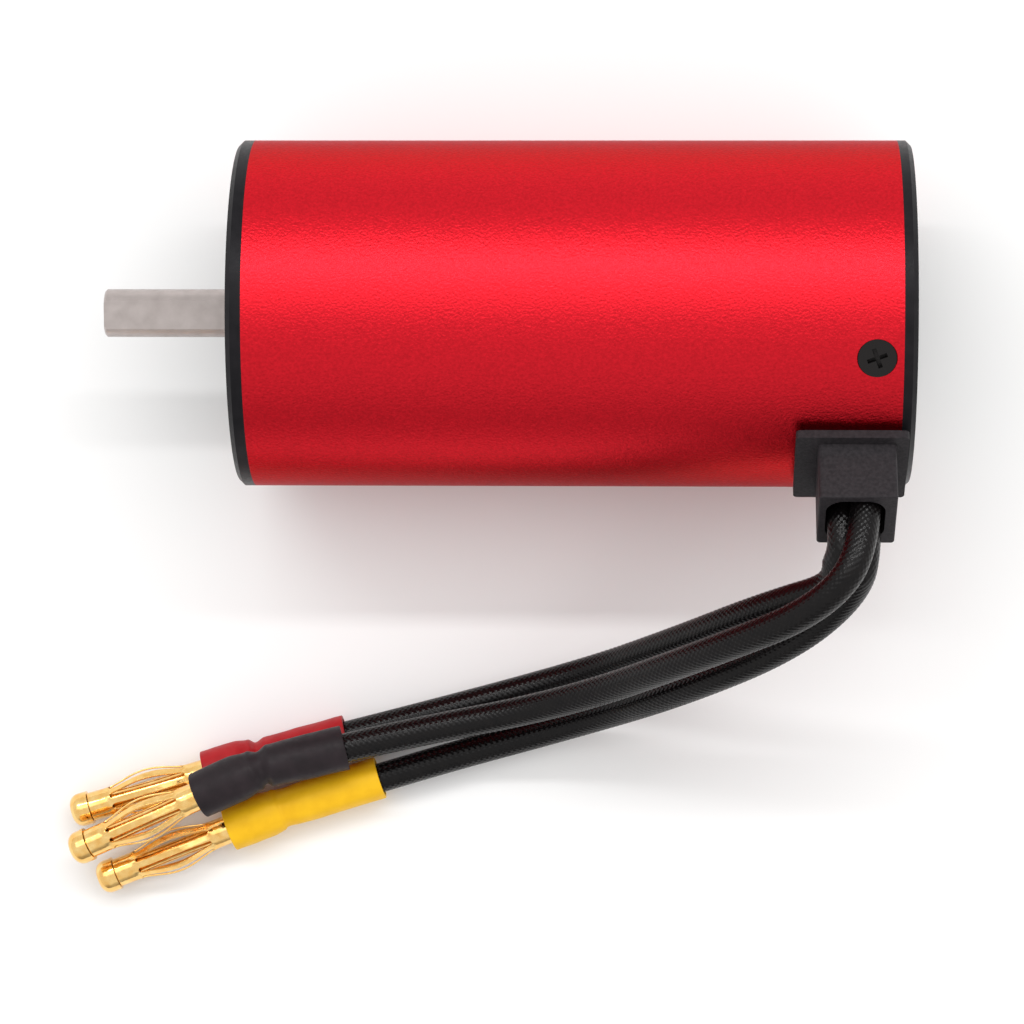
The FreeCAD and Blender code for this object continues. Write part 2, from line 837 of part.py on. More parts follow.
def grommet_body():
    """The block's plate, its neck and the throat that fills the can's slot, standing on +Z."""
    body = new_body("grommet_body")
    rear = "- body_length + plate_rear_gap"
    under = "plate_face - plate_thickness"
    plate = new_sketch(body, "plate_outline", "XY_Plane", under)
    box_outline(plate, rear, f"{rear} + plate_length", "- plate_half_height", "plate_half_height")
    pad(body, plate, "plate_pad", "plate_thickness")
    doc.recompute()
    round_edges(body, "plate_corners", lambda e: upright(e, 0.5), "plate_corner")
    neck = new_sketch(body, "neck_outline", "XY_Plane", under)
    middle = "- body_length + neck_from_rear"
    box_outline(
        neck,
        f"{middle} - neck_half_width",
        f"{middle} + neck_half_width",
        "- neck_half_height",
        "neck_half_height",
    )
    pad(body, neck, "neck_pad", "neck_face - plate_face + plate_thickness")
    doc.recompute()
    round_edges(body, "neck_corners", lambda e: upright(e, 5), "neck_corner")
    round_edges(body, "neck_rim", lambda e: e.BoundBox.ZMin > SIZE["neck_face"] - 0.01, "neck_edge")
    throat = new_sketch(body, "throat_outline", "XY_Plane", under)
    box_outline(
        throat,
        "- body_length + rear_rim + block_room / 2",
        "- body_length + rear_rim + slot_length - block_room",
        "- slot_half_height + block_room",
        "slot_half_height - block_room",
    )
    pad(body, throat, "throat_pad", "throat_depth", back=True)
    return body


def lengthwise_cylinder(name, radius):
    """A round bar on the motor's axis past the whole cable block."""
    start = Placement(Vector(-80, 0, 0), Rotation(Vector(0, 1, 0), 90))
    return primitive("Cylinder", name, {"Radius": radius, "Height": "30"}, start)


def grommet_saddle():
    """The foot that fits the can's curve under the plate."""
    corner = Vector(
        SIZE["plate_rear_gap"] + SIZE["saddle_inset"] - SIZE["body_length"],
        1 - SIZE["plate_half_height"],
        SIZE["plate_face"] - SIZE["plate_thickness"] - SIZE["saddle_depth"],
    )
    size = ("plate_length - saddle_inset * 2", "plate_half_height * 2 - 2", "saddle_depth")
    box = box_solid("saddle_box", *size, corner)
    return cut("grommet_saddle", box, lengthwise_cylinder("over_can", "can_diameter / 2 + 0.02"))


def grommet_lip():
    """The rim behind the can's wall that keeps the block in its slot."""
    corner = Vector(
        SIZE["rear_rim"] + SIZE["block_room"] - SIZE["body_length"],
        -SIZE["slot_half_height"] - SIZE["lip_reach"],
        SIZE["can_diameter"] / 2 - SIZE["can_wall"] - SIZE["lip_depth"] + 0.1,
    )
    size = ("slot_length + lip_reach - block_room", "( slot_half_height + lip_reach ) * 2", "lip_depth")
    box = box_solid("lip_box", *size, corner)
    return common("grommet_lip", box, lengthwise_cylinder("in_can", "can_diameter / 2 - can_wall - 0.02"))


def cable_passage():
    """The rounded opening that the three leads share, right through the block."""
    drill = new_body("passage_body")
    section = new_sketch(drill, "passage_outline", "XY_Plane", "14")
    middle = "- body_length + passage_from_rear"
    box_outline(
        section,
        f"{middle} - passage_half_width",
        f"{middle} + passage_half_width",
        "- passage_half_height",
        "passage_half_height",
    )
    pad(drill, section, "passage_pad", "14")
    doc.recompute()
    round_edges(drill, "passage_corners", lambda e: upright(e, 5), "passage_corner")
    return drill


def cable_grommet():
    """The moulded block on the can's side that holds the leads."""
    block = fuse("grommet_block", [grommet_body(), grommet_saddle(), grommet_lip()])
    grommet = cut("grommet_cut", block, cable_passage())
    grommet.Placement = radial(SIZE["cable_angle"])
    return node(grommet, "cable_grommet")


# ---------------------------------------------------------------- leads and plugs


def route_wire(name, points):
    """Straight runs joined by tangent arcs, as one wire."""
    edges = []
    here = points[0]
    for before, corner, after in zip(points, points[1:], points[2:]):
        first, second = corner - before, after - corner
        half_turn = first.getAngle(second) / 2
        reach = ARC_SHARE * min(first.Length, second.Length)
        radius = reach / math.tan(half_turn)
        first.normalize()
        second.normalize()
        start, end = corner - first * reach, corner + second * reach
        inward = (second - first).normalize()
        middle = corner + inward * (radius / math.cos(half_turn) - radius)
        edges.append(Part.LineSegment(here, start).toShape())
        edges.append(Part.Arc(start, middle, end).toShape())
        here = end
        print(f"{name}: turn {math.degrees(2 * half_turn):.0f} deg, radius {radius:.1f} mm")
    edges.append(Part.LineSegment(here, points[-1]).toShape())
    return Part.Wire(edges)


def tube(name, points, diameter):
    """A round solid that follows a route, its diameter a name in the sheet."""
    spine = doc.addObject("Part::Feature", f"{name}_route")
    spine.Shape = route_wire(name, points)
    section = primitive("Circle", f"{name}_section", {"Radius": f"{diameter} / 2"})
    section.Placement = Placement(points[0], Rotation(Vector(0, 0, 1), points[1] - points[0]))
    sweep = doc.addObject("Part::Sweep", f"{name}_sweep")
    sweep.Sections = [section]
    sweep.Spine = (spine, [])
    sweep.Solid = True
    sweep.Frenet = False
    doc.recompute()
    length = spine.Shape.Length
    expected = length * math.pi * SIZE[diameter] ** 2 / 4
    print(f"{name}: length {length:.1f} mm, volume / expected {sweep.Shape.Volume / expected:.4f}")
    return node(sweep, name)


def lead_frame(colour):
    """Where a lead's end, its sleeve and its plug lie, and the directions from the waist to each end."""
    mouth, waist, head = (Vector(*LEADS[colour][key]) for key in ("mouth", "waist", "head"))
    out = (head - waist).normalize()
    back = (mouth - waist).normalize()
    return SimpleNamespace(mouth=mouth, waist=waist, out=out, back=back, plug=head - out * HEAD_CENTRE)


def lead(colour):
    """A sleeved lead, from inside the cable block to the waist of its shrink sleeve."""
    at = lead_frame(colour)
    block = [cable_point(*p) for p in LEADS[colour]["block"]]
    route = [Vector(*p) for p in LEADS[colour]["route"]]
    end = at.waist + at.back * BRAID_END
    return tube(f"lead_{colour}", block + route + [end + at.back * LAST_RUN, end], "lead_diameter")


def conductor(colour):
    """The bare end of a lead, from its braid's end into the plug's solder cup."""
    at = lead_frame(colour)
    inside = at.plug - at.out * (SIZE["barrel_length"] - SIZE["cup_depth"] + 0.2)
    points = [at.waist + at.back * BRAID_END, at.waist, inside]
    return tube(f"conductor_{colour}", points, "conductor_diameter")


def shrink_sleeve(colour):
    """The heat-shrink sleeve over the plug's barrel and the lead's end, drawn in at its waist."""
    at = lead_frame(colour)
    plug, waist, mouth, out, back = at.plug, at.waist, at.mouth, at.out, at.back
    cup = (plug - waist).Length - SIZE["barrel_length"]
    wall = "sleeve_thickness"
    over_cup = "barrel_diameter / 2 + 0.05"
    over_core = "conductor_diameter / 2 + 0.1"
    over_lead = "lead_diameter / 2 + 0.08"
    stations = [
        (plug, out, over_cup),
        (waist + out * (cup + 1.6), out, f"{over_cup} + 0.06"),
        (waist + out * (cup + 0.4), out, f"{over_cup} + 0.04"),
        (waist + out * (cup - 0.1), out, f"{over_cup}"),
        (waist + out * 0.3, out, f"{over_core} + 0.05"),
        (waist, (out - back).normalize(), over_core),
        (waist + back * 0.3, back * -1, f"{over_core} + 0.05"),
        (waist + back * 1.4, back * -1, over_lead),
        (waist + back * 2.6, back * -1, f"{over_lead} + 0.1"),
        (waist + back * 5.0, back * -1, f"{over_lead} + 0.15"),
        (mouth, back * -1, f"{over_lead} + 0.15"),
    ]
    skins = []
    for skin, extra, past in (("outer", f" + {wall}", 0.0), ("inner", "", 0.2)):
        circles = []
        for k, (centre, normal, radius) in enumerate(stations):
            circle = primitive("Circle", f"shrink_{colour}_{skin}_{k}", {"Radius": f"{radius}{extra}"})
            shift = out * past if k == 0 else back * (past if k == len(stations) - 1 else 0)
            circle.Placement = Placement(centre + shift, Rotation(Vector(0, 0, 1), normal))
            circles.append(circle)
        loft = doc.addObject("Part::Loft", f"shrink_{colour}_{skin}_loft")
        loft.Sections = circles
        loft.Solid = True
        loft.Ruled = True
        skins.append(loft)
    return node(cut(f"shrink_{colour}_cut", *skins), f"shrink_{colour}")


def along(start, direction):
    """The placement that lays a piece's own X axis along a direction."""
    return Placement(start, Rotation(Vector(1, 0, 0), direction))


def plug_pin(colour):
    """The turned pin of a bullet plug: solder cup, core and domed head."""
    at = lead_frame(colour)
    cup = "conductor_diameter / 2 + 0.02"
    neck_end = "collar_length + slat_length + front_collar"
    body = turned(
        f"pin_{colour}_body",
        [
            ("- barrel_length", cup),
            ("- barrel_length", "barrel_diameter / 2"),
            ("- stack_gap * 2", "barrel_diameter / 2"),
            ("- stack_gap * 2", "plug_core / 2"),
            (neck_end, "plug_core / 2"),
            (neck_end, "head_diameter / 2"),
            (f"{neck_end} + head_length", "head_diameter / 2"),
            (f"{neck_end} + head_length", "0"),
            ("- barrel_length + cup_depth", "0"),
            ("- barrel_length + cup_depth", cup),
        ],
    )
    doc.recompute()
    tip = body.Shape.BoundBox.XMax
    round_edges(body, f"pin_{colour}_dome", lambda e: e.BoundBox.XMin > tip - 0.01, "head_round")
    body.Placement = along(at.plug, at.out)
    return node(body, f"plug_pin_{colour}")


def plug_spring(colour):
    """The lantern spring round a plug's core: eight bowed slats between two collars."""
    at = lead_frame(colour)
    collar = "collar_diameter / 2"
    bulge = "slat_bulge / 2"
    start = "collar_length"
    end = "collar_length + slat_length"
    bore = "plug_core / 2 + 0.04"
    outer = [
        ("0", collar),
        (start, collar),
        (f"{start} + slat_length * 0.25", f"{bulge} - 0.15"),
        (f"{start} + slat_length * 0.4", bulge),
        (f"{start} + slat_length * 0.6", bulge),
        (f"{start} + slat_length * 0.75", f"{bulge} - 0.15"),
        (end, collar),
        (f"{end} + front_collar - 0.05", collar),
    ]
    inner = [
        (f"{end} + front_collar - 0.05", bore),
        (f"{end} + 0.2", bore),
        (f"{start} + slat_length * 0.75", f"{bulge} - 0.15 - slat_thickness"),
        (f"{start} + slat_length * 0.6", f"{bulge} - slat_thickness"),
        (f"{start} + slat_length * 0.4", f"{bulge} - slat_thickness"),
        (f"{start} + slat_length * 0.25", f"{bulge} - 0.15 - slat_thickness"),
        (f"{start} - 0.2", bore),
        ("0", bore),
    ]
    body = turned(f"spring_{colour}_body", outer + inner)
    sketch = new_sketch(body, f"spring_{colour}_gap", "XY_Plane")
    box_outline(sketch, f"{start} + 0.1", f"{end} - 0.1", "- slat_gap / 2", "slat_gap / 2")
    gap = pocket(body, sketch, f"spring_{colour}_gap_cut", "slat_bulge", back=True)
    repeat(body, [gap], f"spring_{colour}_gaps", "slat_count")
    body.Placement = along(at.plug, at.out)
    return node(body, f"plug_spring_{colour}")


def phase_tails():
    """The winding ends that run from the end turns to the leads inside the cable block."""
    past_coils = -(
        SIZE["stack_start"]
        + SIZE["stack_length"]
        + SIZE["insulator"]
        + SIZE["coil_slack"]
        + SIZE["coil_side"]
    )
    out = SIZE["tail_radius"]
    for name, colour, turn in PHASES:
        x, distance, height = LEADS[colour]["block"][0]
        angle = math.radians(turn)
        start = (past_coils - 0.1, out * math.cos(angle), out * math.sin(angle))
        if turn == 0:
            points = [start, (x, out, 0.0)]
        else:
            side = math.copysign(1, turn)
            points = [start, (x + 3.6, start[1] + 0.3, start[2]), (x, 10.2, 5.4 * side), (x, 13.0, height)]
        points.append((x, distance - 0.02, height))
        tube(f"phase_tail_{name}", [cable_point(*p) for p in points], "tail_diameter")


# ---------------------------------------------------------------- the motor


def build():
    fill_sheet()
    can()
    front_end_bell()
    rear_end_bell()
    rear_end_screws()
    bearing("front_bearing", "- seat_depth - 0.02")
    bearing("rear_bearing", rear_bearing_front())
    wave_washer()
    shaft()
    shaft_clip()
    rotor_parts()
    balance_rings_and_spacers()
    stator_core()
    insulator("front_insulator", "- stack_start + insulator - 0.02")
    insulator("rear_insulator", "- stack_start - stack_length - 0.02")
    for name, _, turn in PHASES:
        winding(f"winding_{name}", turn)
    slot_wedges()
    star_bus()
    cable_grommet()
    phase_tails()
    for colour in LEADS:
        lead(colour)
        conductor(colour)
        shrink_sleeve(colour)
        plug_pin(colour)
        plug_spring(colour)
    doc.recompute()


def check():
    """Stops if any object failed or any piece isn't a valid solid."""
    failed = [o.Name for o in doc.Objects if set(o.State) & {"Invalid", "Error"}]
    if failed:
        raise ValueError(f"these objects failed: {failed}")
    for thing in nodes:
        shape = thing.Shape
        if shape.isNull() or not shape.isValid() or not shape.Solids:
            raise ValueError(f"{thing.Label} isn't a valid solid")


def write():
    os.makedirs("parts", exist_ok=True)
    for thing in nodes:
        thing.Shape.exportStep(f"parts/{thing.Label}.step")
    print(len(nodes), "pieces written")


build()
check()
write()
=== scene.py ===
import json
import math

import bpy
from mathutils import Matrix, Vector, noise


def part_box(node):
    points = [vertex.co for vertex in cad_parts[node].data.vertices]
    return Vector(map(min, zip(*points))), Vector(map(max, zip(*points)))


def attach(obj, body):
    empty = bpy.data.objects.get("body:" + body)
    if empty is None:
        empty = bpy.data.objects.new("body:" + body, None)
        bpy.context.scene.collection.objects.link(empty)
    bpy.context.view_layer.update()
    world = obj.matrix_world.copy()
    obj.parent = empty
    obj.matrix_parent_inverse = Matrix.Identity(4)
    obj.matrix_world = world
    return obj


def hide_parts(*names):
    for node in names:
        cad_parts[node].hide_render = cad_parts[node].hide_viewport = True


# The motor's looks, in metres, in the CAD frame: +X out along the shaft, +Z up, the leads on the +Y side.

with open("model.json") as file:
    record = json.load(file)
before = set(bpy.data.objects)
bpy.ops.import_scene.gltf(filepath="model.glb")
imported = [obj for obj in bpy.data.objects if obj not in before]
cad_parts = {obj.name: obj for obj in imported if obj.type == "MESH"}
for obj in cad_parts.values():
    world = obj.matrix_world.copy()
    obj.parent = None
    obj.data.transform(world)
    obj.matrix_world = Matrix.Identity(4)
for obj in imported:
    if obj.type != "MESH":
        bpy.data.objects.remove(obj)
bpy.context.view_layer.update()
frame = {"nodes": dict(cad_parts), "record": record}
nodes = frame["nodes"]

MM = 0.001
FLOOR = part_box("can")[0][2]  # the motor lies on its side

# ---------------------------------------------------------------- camera

CAMERA_PLACE = (-0.04346, 0.02066, 0.4316)
CAMERA_ROLL = math.radians(180.174)  # the shaft points to the picture's left
CAMERA_YAW = math.radians(2.009)
LENS = 145.5
SENSOR_WIDTH = 36.0


def add_camera():
    """A long lens straight above the motor, turned a little about the picture's upright."""
    data = bpy.data.cameras.new("camera")
    data.sensor_width = SENSOR_WIDTH
    data.lens = LENS
    data.clip_start = 0.01
    camera = bpy.data.objects.new("camera", data)
    bpy.context.collection.objects.link(camera)
    turn = Matrix.Rotation(CAMERA_ROLL, 4, "Z") @ Matrix.Rotation(CAMERA_YAW, 4, "Y")
    camera.matrix_world = Matrix.Translation(CAMERA_PLACE) @ turn
    bpy.context.scene.camera = camera


add_camera()

# ---------------------------------------------------------------- routes of the leads

CABLE_ANGLE = math.radians(32.0)
LEAD_DIAMETER = 0.0032
LAST_RUN = 0.0133  # from the end of the braid back to the control point before it
BRAID_END = 0.0015  # from a sleeve's waist back to the end of the braid
HEAD_CENTRE = 0.014  # from the start of a plug's bare length to the centre of its head

# For each lead: its two points in the cable block (x, distance from the motor's axis, height across the
# block), its way down to the table, and the mouth, waist and plug head of its end.
LEADS = {
    "red": {
        "block": [(-0.06208, 0.0174, 0.0), (-0.06208, 0.0269, 0.0)],
        "route": [
            (-0.0626, 0.0278, 0.0126),
            (-0.0545, 0.0304, 0.0065),
            (-0.0452, 0.0344, -0.0040),
            (-0.0354, 0.0382, -0.0148),
        ],
        "mouth": (-0.0100, 0.0450, -0.0154),
        "waist": (-0.0005, 0.0474, -0.0154),
        "head": (0.0187, 0.0531, -0.0154),
    },
    "black": {
        "block": [(-0.06472, 0.0174, 0.00185), (-0.06472, 0.0291, 0.00185)],
        "route": [(-0.0602, 0.0302, 0.0161), (-0.0495, 0.0348, 0.0085), (-0.0340, 0.0410, -0.0082)],
        "mouth": (-0.0101, 0.0460, -0.0108),
        "waist": (-0.0013, 0.0481, -0.0099),
        "head": (0.0183, 0.0569, -0.0120),
    },
    "yellow": {
        "block": [(-0.06472, 0.0174, -0.00185), (-0.06472, 0.0279, -0.00185)],
        "route": [
            (-0.0634, 0.0292, 0.0086),
            (-0.0572, 0.0345, 0.0045),
            (-0.0465, 0.0393, -0.0025),
            (-0.0360, 0.0431, -0.0146),
        ],
        "mouth": (-0.0136, 0.04945, -0.0154),
        "waist": (-0.0029, 0.0529, -0.0154),
        "head": (0.0158, 0.0603, -0.0154),
    },
}


def cable_point(x, distance, height):
    """A point of the cable block, whose own axis leans CABLE_ANGLE above +Y."""
    across, up = math.cos(CABLE_ANGLE), math.sin(CABLE_ANGLE)
    return Vector((x, distance * across - height * up, distance * up + height * across))


def lead_end(colour):
    """The mouth, waist and plug start of a lead's end, and the directions from the waist to each."""
    mouth, waist, head = (Vector(LEADS[colour][key]) for key in ("mouth", "waist", "head"))
    out = (head - waist).normalized()
    back = (mouth - waist).normalized()
    return mouth, waist, head - out * HEAD_CENTRE, out, back


def lead_route(colour):
    """The control points of a lead's centre line."""
    _, waist, _, _, back = lead_end(colour)
    end = waist + back * BRAID_END
    block = [cable_point(*p) for p in LEADS[colour]["block"]]
    way = [Vector(p) for p in LEADS[colour]["route"]]
    return block + way + [end + back * LAST_RUN, end]


# ---------------------------------------------------------------- curves and meshes

SPLINE_STEPS = 60  # between two control points


def spline_line(name, points):
    """The points along a smooth NURBS spline that has those control points."""
    curve = bpy.data.curves.new(name, "CURVE")
    curve.dimensions = "3D"
    curve.resolution_u = SPLINE_STEPS
    spline = curve.splines.new("NURBS")
    spline.points.add(len(points) - 1)
    for target, point in zip(spline.points, points):
        target.co = (*point, 1.0)
    spline.order_u = 3
    spline.use_endpoint_u = True
    holder = bpy.data.objects.new(name, curve)
    bpy.context.collection.objects.link(holder)
    bpy.context.view_layer.update()
    line = bpy.data.meshes.new_from_object(holder)
    found = [v.co.copy() for v in line.vertices]
    bpy.data.objects.remove(holder)
    bpy.data.curves.remove(curve)
    bpy.data.meshes.remove(line)
    return found


def line_length(points):
    return sum((b - a).length for a, b in zip(points, points[1:]))


def even_points(points, count):
    """The same line as count points that lie evenly along it."""
    step = line_length(points) / (count - 1)
    evenly = [points[0].copy()]
    walked = 0.0
    for a, b in zip(points, points[1:]):
        run = (b - a).length
        while len(evenly) < count - 1 and len(evenly) * step <= walked + run:
            evenly.append(a.lerp(b, (len(evenly) * step - walked) / run))
        walked += run
    evenly.append(points[-1].copy())
    return evenly


def frames_along(points):
    """For each point of a line, two directions square to it that turn as little as they can."""
    found = []
    side = None
    for k, point in enumerate(points):
        ahead = (points[min(k + 1, len(points) - 1)] - points[max(k - 1, 0)]).normalized()
        if side is None:
            side = ahead.orthogonal().normalized()
        side = (side - ahead * side.dot(ahead)).normalized()
        found.append((point, side, ahead.cross(side)))
    return found


def ring_mesh(rows, closed_rows=False, capped=False):
    """Vertices and faces of a tube from rows of points; each row is a closed ring."""
    wide = len(rows[0])
    points = [p for row in rows for p in row]
    faces = []
    last = len(rows) if closed_rows else len(rows) - 1
    for r in range(last):
        below, above = r * wide, (r + 1) % len(rows) * wide
        for c in range(wide):
            after = (c + 1) % wide
            faces.append((below + c, below + after, above + after, above + c))
    if capped:
        faces.append(tuple(reversed(range(wide))))
        faces.append(tuple(range(len(points) - wide, len(points))))
    return points, faces


def add_piece(name, points, faces, look, body):
    """A smooth-shaded mesh piece that rides on a CAD body."""
    mesh = bpy.data.meshes.new(name)
    mesh.from_pydata(points, [], faces)
    mesh.validate()
    mesh.shade_smooth()
    mesh.materials.append(look)
    piece = bpy.data.objects.new(name, mesh)
    bpy.context.collection.objects.link(piece)
    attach(piece, body)
    return piece


# ---------------------------------------------------------------- materials


def new_look(name, **sockets):
    """A material with one Principled shader whose sockets are set by name, and that shader."""
    look = bpy.data.materials.new(name)
    look.use_nodes = True
    shader = look.node_tree.nodes["Principled BSDF"]
    for socket, value in sockets.items():
        shader.inputs[socket.replace("_", " ")].default_value = value
    return look, shader


def add_node(look, kind, **values):
    """A node with its properties and input values set by name."""
    made = look.node_tree.nodes.new(kind)
    for name, value in values.items():
        if hasattr(made, name):
            setattr(made, name, value)
        else:
            made.inputs[name.replace("_", " ")].default_value = value
    return made


def link(look, source, target):
    look.node_tree.links.new(source, target)


def stretched(look, scale=(1.0, 1.0, 1.0)):
    """The object's own coordinates, scaled apart along the three axes."""
    where = add_node(look, "ShaderNodeTexCoord")
    mapping = add_node(look, "ShaderNodeMapping")
    mapping.inputs["Scale"].default_value = scale
    link(look, where.outputs["Object"], mapping.inputs["Vector"])
    return mapping.outputs["Vector"]


def grain(look, size, detail=3.0, along=(1.0, 1.0, 1.0)):
    """Noise whose spots are about that many metres wide, drawn out along an axis by a value under 1."""
    made = add_node(look, "ShaderNodeTexNoise", Scale=1.0 / size, Detail=detail)
    link(look, stretched(look, along), made.inputs["Vector"])
    return made.outputs["Fac"]


def spread(look, value, low, high):
    """A noise value, most of which lie from 0.3 to 0.7, taken to the range from low to high."""
    made = add_node(look, "ShaderNodeMapRange", From_Min=0.3, From_Max=0.7, To_Min=low, To_Max=high)
    link(look, value, made.inputs["Value"])
    return made.outputs["Result"]


def tinted(look, shader, value, dark, light):
    """Colours the shader between two colours by a noise value."""
    made = add_node(look, "ShaderNodeMix", data_type="RGBA")
    colours = [s for s in made.inputs if s.type == "RGBA"]
    colours[0].default_value = (*dark, 1.0)
    colours[1].default_value = (*light, 1.0)
    link(look, spread(look, value, 0.0, 1.0), made.inputs[0])
    link(look, [s for s in made.outputs if s.type == "RGBA"][0], shader.inputs["Base Color"])


def rough_by(look, shader, value, low, high):
    """Varies the shader's roughness between two limits by a noise value."""
    link(look, spread(look, value, low, high), shader.inputs["Roughness"])


def bumped(look, shader, value, depth, strength=1.0):
    """Raises the surface by a value, depth in metres."""
    made = add_node(look, "ShaderNodeBump", Strength=strength, Distance=depth)
    link(look, value, made.inputs["Height"])
    if shader.inputs["Normal"].links:
        link(look, shader.inputs["Normal"].links[0].from_socket, made.inputs["Normal"])
    link(look, made.outputs["Normal"], shader.inputs["Normal"])


def red_anodised():
    """Bead-blasted aluminium under a red dye, with a fine even sparkle."""
    look, shader = new_look(
        "red_anodised",
        Metallic=1.0,
        Specular_Tint=(0.5, 0.25, 0.28, 1.0),
        Coat_Weight=0.2,
        Coat_Roughness=0.3,
    )
    tinted(look, shader, grain(look, 0.3 * MM), (0.53, 0.005, 0.014), (0.68, 0.008, 0.02))
    rough_by(look, shader, grain(look, 0.8 * MM), 0.34, 0.4)
    bumped(look, shader, grain(look, 0.25 * MM, detail=2.0), 0.05 * MM)
    link(look, shader.inputs["Normal"].links[0].from_socket, shader.inputs["Coat Normal"])
    return look


def black_anodised():
    """Turned aluminium under a black dye."""
    look, shader = new_look("black_anodised", Specular_IOR_Level=0.12)
    tinted(look, shader, grain(look, 1.5 * MM), (0.006, 0.0055, 0.007), (0.010, 0.009, 0.011))
    rough_by(look, shader, grain(look, 0.4 * MM), 0.32, 0.44)
    bumped(look, shader, grain(look, 0.15 * MM), 0.004 * MM)
    return look


def moulded_black():
    """Black nylon with the fine spark-eroded texture of its mould."""
    look, shader = new_look("moulded_black", Roughness=0.55, Specular_IOR_Level=0.12)
    tinted(look, shader, grain(look, 0.35 * MM), (0.018, 0.016, 0.018), (0.032, 0.028, 0.031))
    bumped(look, shader, grain(look, 0.16 * MM, detail=4.0), 0.03 * MM)
    return look


def black_steel():
    """Oil-blackened steel, a little patchy in its gloss."""
    look, shader = new_look("black_oxide", Base_Color=(0.02, 0.018, 0.018, 1.0), Metallic=0.8)
    rough_by(look, shader, grain(look, 0.2 * MM), 0.24, 0.42)
    bumped(look, shader, grain(look, 0.12 * MM), 0.006 * MM)
    return look


def ground_steel():
    """Centreless-ground steel: fine rings round the shaft and a few dull stains."""
    look, shader = new_look("ground_steel", Metallic=1.0)
    stains = grain(look, 1.6 * MM, detail=5.0)
    tinted(look, shader, stains, (0.42, 0.375, 0.36), (0.49, 0.44, 0.425))
    rough_by(look, shader, grain(look, 0.6 * MM, detail=5.0), 0.3, 0.46)
    bumped(look, shader, grain(look, 0.09 * MM, along=(1.0, 0.12, 0.12)), 0.004 * MM)
    bumped(look, shader, stains, 0.02 * MM, strength=0.2)
    return look


def plain_metal(name, colour, rough, size=0.3 * MM):
    """Turned or stamped metal with faint machining lines round the X axis."""
    look, shader = new_look(name, Metallic=1.0)
    tinted(look, shader, grain(look, size * 4), tuple(0.88 * c for c in colour), colour)
    rough_by(look, shader, grain(look, size), rough * 0.8, rough * 1.25)
    bumped(look, shader, grain(look, size * 0.4, along=(1.0, 0.15, 0.15)), 0.004 * MM)
    return look


def bands(look, pitch, direction="X"):
    """Even waves along an axis, 0.63 of the pitch apart."""
    made = add_node(look, "ShaderNodeTexWave", Scale=0.5 / pitch, bands_direction=direction)
    link(look, stretched(look), made.inputs["Vector"])
    return made.outputs["Fac"]


def laminated_steel():
    """Stamped sheets, seen as fine lines across the stack."""
    look, shader = new_look("electrical_steel", Metallic=1.0, Roughness=0.42)
    tinted(look, shader, grain(look, 1.0 * MM), (0.25, 0.26, 0.28), (0.33, 0.34, 0.36))
    bumped(look, shader, bands(look, 0.35 * MM), 0.03 * MM)
    return look


def enamelled_copper():
    """Close turns of lacquered wire along the motor."""
    look, shader = new_look("copper", Metallic=1.0, Roughness=0.28, Coat_Weight=0.6)
    tinted(look, shader, grain(look, 0.7 * MM), (0.6, 0.2, 0.07), (0.8, 0.33, 0.13))
    bumped(look, shader, bands(look, 0.5 * MM, direction="Y"), 0.1 * MM)
    return look


def moulded_white():
    """White nylon of the insulators."""
    look, shader = new_look("white_plastic", Roughness=0.5)
    tinted(look, shader, grain(look, 1.2 * MM), (0.74, 0.72, 0.66), (0.82, 0.8, 0.74))
    bumped(look, shader, grain(look, 0.2 * MM), 0.01 * MM)
    return look


def gold_plate():
    """Bright plating with faint turning lines and slightly uneven gloss."""
    look, shader = new_look("gold", Metallic=1.0)
    tinted(look, shader, grain(look, 1.0 * MM), (0.88, 0.5, 0.14), (0.98, 0.68, 0.27))
    rough_by(look, shader, grain(look, 0.5 * MM, detail=5.0), 0.08, 0.2)
    bumped(look, shader, grain(look, 0.4 * MM), 0.012 * MM)
    return look


def heat_shrink(name, dark, light, rough):
    """Satin polyolefin tube with a slight orange-peel and dull rubbed spots."""
    look, shader = new_look(name, Specular_IOR_Level=0.2)
    tinted(look, shader, grain(look, 1.8 * MM), dark, light)
    rough_by(look, shader, grain(look, 0.7 * MM, detail=5.0), rough * 0.85, rough * 1.2)
    bumped(look, shader, grain(look, 0.45 * MM), 0.02 * MM)
    return look


def braid_look():
    """Varnished black filaments; the strands themselves are in the mesh."""
    look, shader = new_look("braid", Specular_IOR_Level=0.2)
    where = add_node(look, "ShaderNodeUVMap", uv_map="weave")
    split = add_node(look, "ShaderNodeSeparateXYZ")
    link(look, where.outputs["UV"], split.inputs["Vector"])
    threads = add_node(look, "ShaderNodeMath", operation="SINE")
    link(look, split.outputs["X"], threads.inputs[0])
    tinted(look, shader, grain(look, 0.9 * MM), (0.002, 0.0016, 0.002), (0.005, 0.004, 0.004))
    rough_by(look, shader, grain(look, 0.4 * MM), 0.16, 0.26)
    bumped(look, shader, threads.outputs["Value"], 0.002 * MM)
    return look


